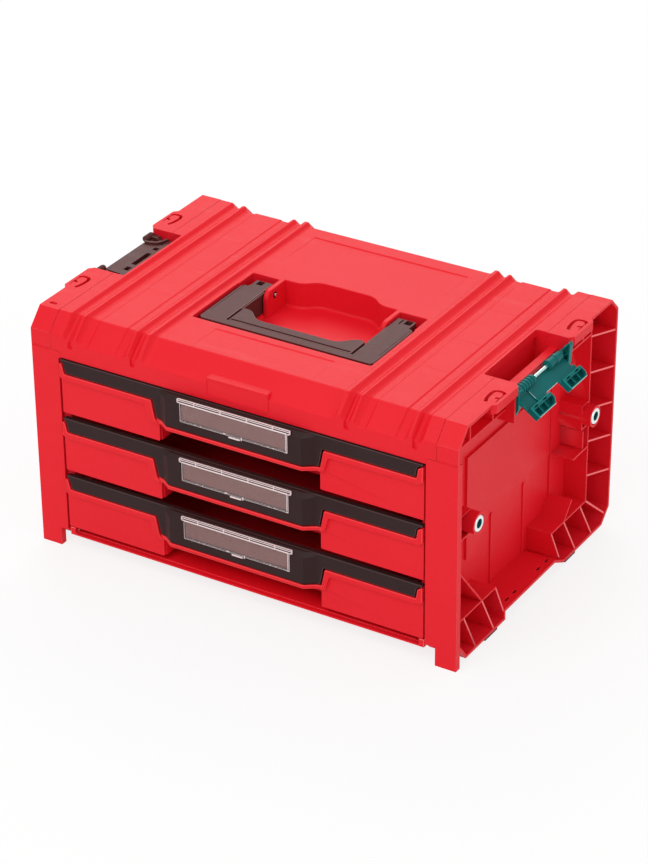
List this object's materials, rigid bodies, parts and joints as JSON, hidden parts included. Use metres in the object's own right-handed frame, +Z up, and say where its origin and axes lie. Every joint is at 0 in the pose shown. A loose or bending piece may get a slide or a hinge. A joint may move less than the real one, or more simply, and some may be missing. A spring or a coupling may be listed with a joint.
{
  "type": "toolbox with drawers",
  "caption": "Stackable moulded toolbox with full-width drawers, pull bars with clear label flaps, a fold-down top handle and side stacking latches.",
  "frame": {"origin": "middle of the toolbox's bounding box, on the surface it stands on", "axes": "+X to the right seen from the front, across the drawers; -Y out of the drawers' fronts; +Z up"},
  "size_m": [0.4769, 0.3126, 0.2439],
  "materials": {
    "red_moulding": "fine moulded grain, satin",
    "dark_moulding": "fine moulded grain, matte",
    "teal_moulding": "satin",
    "clear_flap": "clear, polished",
    "label_card": "matt card",
    "steel": "zinc plated"
  },
  "bodies": {
    "case": {"top_cover": "red_moulding", "side_frame_left": "red_moulding", "side_frame_right": "red_moulding", "back_panel": "red_moulding", "base_panel": "red_moulding", "drawer_runner_top_left": "red_moulding", "drawer_runner_top_right": "red_moulding", "drawer_runner_middle_left": "red_moulding", "drawer_runner_middle_right": "red_moulding", "drawer_runner_bottom_left": "red_moulding", "drawer_runner_bottom_right": "red_moulding", "stacking_lug_front_left": "dark_moulding", "stacking_lug_front_right": "dark_moulding", "stacking_lug_rear_left": "dark_moulding", "stacking_lug_rear_right": "dark_moulding", "side_eyelet_front_left": "steel", "side_eyelet_front_right": "steel", "side_eyelet_rear_left": "steel", "side_eyelet_rear_right": "steel", "latch_bracket_left": "dark_moulding", "latch_bracket_right": "teal_moulding", "latch_pin_left": "steel", "latch_pin_right": "steel", "handle_pin_left": "steel", "handle_pin_right": "steel"},
    "drawer_top": {"drawer_tray_top": "red_moulding", "drawer_front_trim_top": "dark_moulding", "label_card_top": "label_card"},
    "drawer_middle": {"drawer_tray_middle": "red_moulding", "drawer_front_trim_middle": "dark_moulding", "label_card_middle": "label_card"},
    "drawer_bottom": {"drawer_tray_bottom": "red_moulding", "drawer_front_trim_bottom": "dark_moulding", "label_card_bottom": "label_card"},
    "flap_top": {"label_flap_top": "clear_flap"},
    "flap_middle": {"label_flap_middle": "clear_flap"},
    "flap_bottom": {"label_flap_bottom": "clear_flap"},
    "handle": {"handle_frame": "dark_moulding", "handle_grip": "dark_moulding"},
    "latch_left": {"latch_lever_left": "dark_moulding"},
    "latch_right": {"latch_lever_right": "teal_moulding"}
  },
  "joints": [
    {"name": "drawer_top_slide", "type": "slide", "parent": "case", "child": "drawer_top", "axis": [0, -1, 0], "range_m": [0, 0.24]},
    {"name": "drawer_middle_slide", "type": "slide", "parent": "case", "child": "drawer_middle", "axis": [0, -1, 0], "range_m": [0, 0.24]},
    {"name": "drawer_bottom_slide", "type": "slide", "parent": "case", "child": "drawer_bottom", "axis": [0, -1, 0], "range_m": [0, 0.24]},
    {"name": "flap_top_hinge", "type": "hinge", "parent": "drawer_top", "child": "flap_top", "pos_m": [-0.00949, -0.15502, 0.2006], "axis": [-1, 0, 0], "range_deg": [0, 100]},
    {"name": "flap_middle_hinge", "type": "hinge", "parent": "drawer_middle", "child": "flap_middle", "pos_m": [-0.00949, -0.15502, 0.1391], "axis": [-1, 0, 0], "range_deg": [0, 100]},
    {"name": "flap_bottom_hinge", "type": "hinge", "parent": "drawer_bottom", "child": "flap_bottom", "pos_m": [-0.00949, -0.15502, 0.0776], "axis": [-1, 0, 0], "range_deg": [0, 100]},
    {"name": "handle_hinge", "type": "hinge", "parent": "case", "child": "handle", "pos_m": [-0.00949, 0.01427, 0.2325], "axis": [-1, 0, 0], "range_deg": [0, 90]},
    {"name": "latch_left_hinge", "type": "hinge", "parent": "case", "child": "latch_left", "pos_m": [-0.23149, 0.00702, 0.2311], "axis": [0, -1, 0], "range_deg": [0, 216]},
    {"name": "latch_right_hinge", "type": "hinge", "parent": "case", "child": "latch_right", "pos_m": [0.21251, 0.00702, 0.2311], "axis": [0, -1, 0], "range_deg": [0, 216]}
  ]
}
